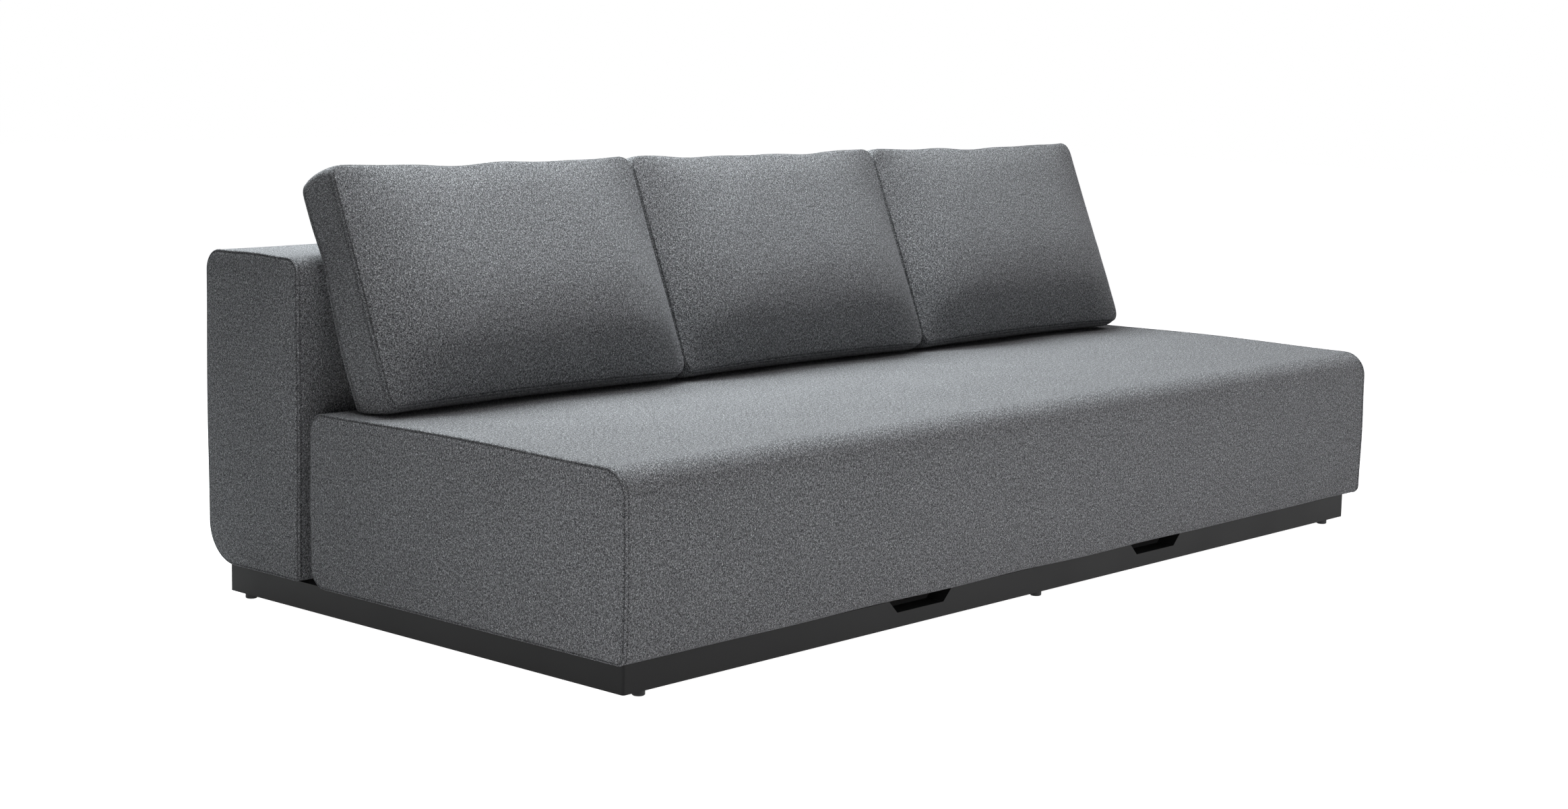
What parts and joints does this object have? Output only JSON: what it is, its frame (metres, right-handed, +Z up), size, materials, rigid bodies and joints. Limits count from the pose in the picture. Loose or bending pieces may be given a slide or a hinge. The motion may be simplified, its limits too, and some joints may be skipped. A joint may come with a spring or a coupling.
{
  "type": "three-seater sofa",
  "caption": "Armless upholstered sofa: long seat block that pulls forward on a low dark plinth, fixed back block and loose boxed back cushions.",
  "frame": {"origin": "on the floor, below the middle of the footprint", "axes": "+X across the sofa to the right of someone facing its front, +Y towards the back, +Z up"},
  "size_m": [2.3, 1.1, 0.8128],
  "materials": {
    "grey_weave": "woven melange",
    "foam": "open-cell foam",
    "dust_cloth": "spunbond",
    "charcoal_lacquer": "satin lacquer",
    "frame_timber": "planed",
    "hardboard": "smooth",
    "zinc_steel": "zinc plated",
    "black_steel": "black paint",
    "black_nylon": "matte",
    "rubber": "matte"
  },
  "bodies": {
    "base": {"back_bearer_front": "frame_timber", "back_bearer_rear": "frame_timber", "back_bracket_left": "zinc_steel", "back_bracket_right": "zinc_steel", "back_bracket_screws": "zinc_steel", "back_cover": "grey_weave", "back_dust_cloth": "dust_cloth", "back_end_stile_left": "frame_timber", "back_end_stile_right": "frame_timber", "back_foam": "foam", "back_foot_rail": "frame_timber", "back_front_panel": "hardboard", "back_pads": "rubber", "back_rear_panel": "hardboard", "back_stile_centre": "frame_timber", "back_stile_left": "frame_timber", "back_stile_right": "frame_timber", "back_top_rail": "frame_timber", "corner_angles": "zinc_steel", "corner_screws": "zinc_steel", "glide_screws": "zinc_steel", "glides": "black_nylon", "plinth_beam_centre": "frame_timber", "plinth_beam_left": "frame_timber", "plinth_beam_right": "frame_timber", "plinth_front_rail": "charcoal_lacquer", "plinth_rail_left": "charcoal_lacquer", "plinth_rail_right": "charcoal_lacquer", "plinth_rear_rail": "charcoal_lacquer", "slide_strips": "black_nylon", "track_left": "zinc_steel", "track_right": "zinc_steel", "track_screws": "zinc_steel", "track_stops": "rubber"},
    "cushion_left": {"cushion_cover_left": "grey_weave", "cushion_fill_left": "foam"},
    "cushion_middle": {"cushion_cover_middle": "grey_weave", "cushion_fill_middle": "foam"},
    "cushion_right": {"cushion_cover_right": "grey_weave", "cushion_fill_right": "foam"},
    "seat": {"finger_pull_screws": "black_steel", "finger_pulls": "black_steel", "runner_left": "zinc_steel", "runner_right": "zinc_steel", "runner_screws": "zinc_steel", "runner_shoes": "black_nylon", "seat_corner_blocks": "frame_timber", "seat_cover": "grey_weave", "seat_cross_rail_centre": "frame_timber", "seat_cross_rail_left": "frame_timber", "seat_cross_rail_right": "frame_timber", "seat_dust_cloth": "dust_cloth", "seat_end_rail_left": "frame_timber", "seat_end_rail_right": "frame_timber", "seat_foam": "foam", "seat_front_rail": "frame_timber", "seat_rear_rail": "frame_timber", "seat_slats": "frame_timber"}
  },
  "joints": [
    {"name": "seat_pull", "type": "slide", "parent": "base", "child": "seat", "axis": [0, -1, 0], "range_m": [0, 0.3]},
    {"name": "cushion_left_lift", "type": "slide", "parent": "seat", "child": "cushion_left", "axis": [0, 0, 1], "range_m": [0, 0.5]},
    {"name": "cushion_middle_lift", "type": "slide", "parent": "seat", "child": "cushion_middle", "axis": [0, 0, 1], "range_m": [0, 0.5]},
    {"name": "cushion_right_lift", "type": "slide", "parent": "seat", "child": "cushion_right", "axis": [0, 0, 1], "range_m": [0, 0.5]}
  ]
}
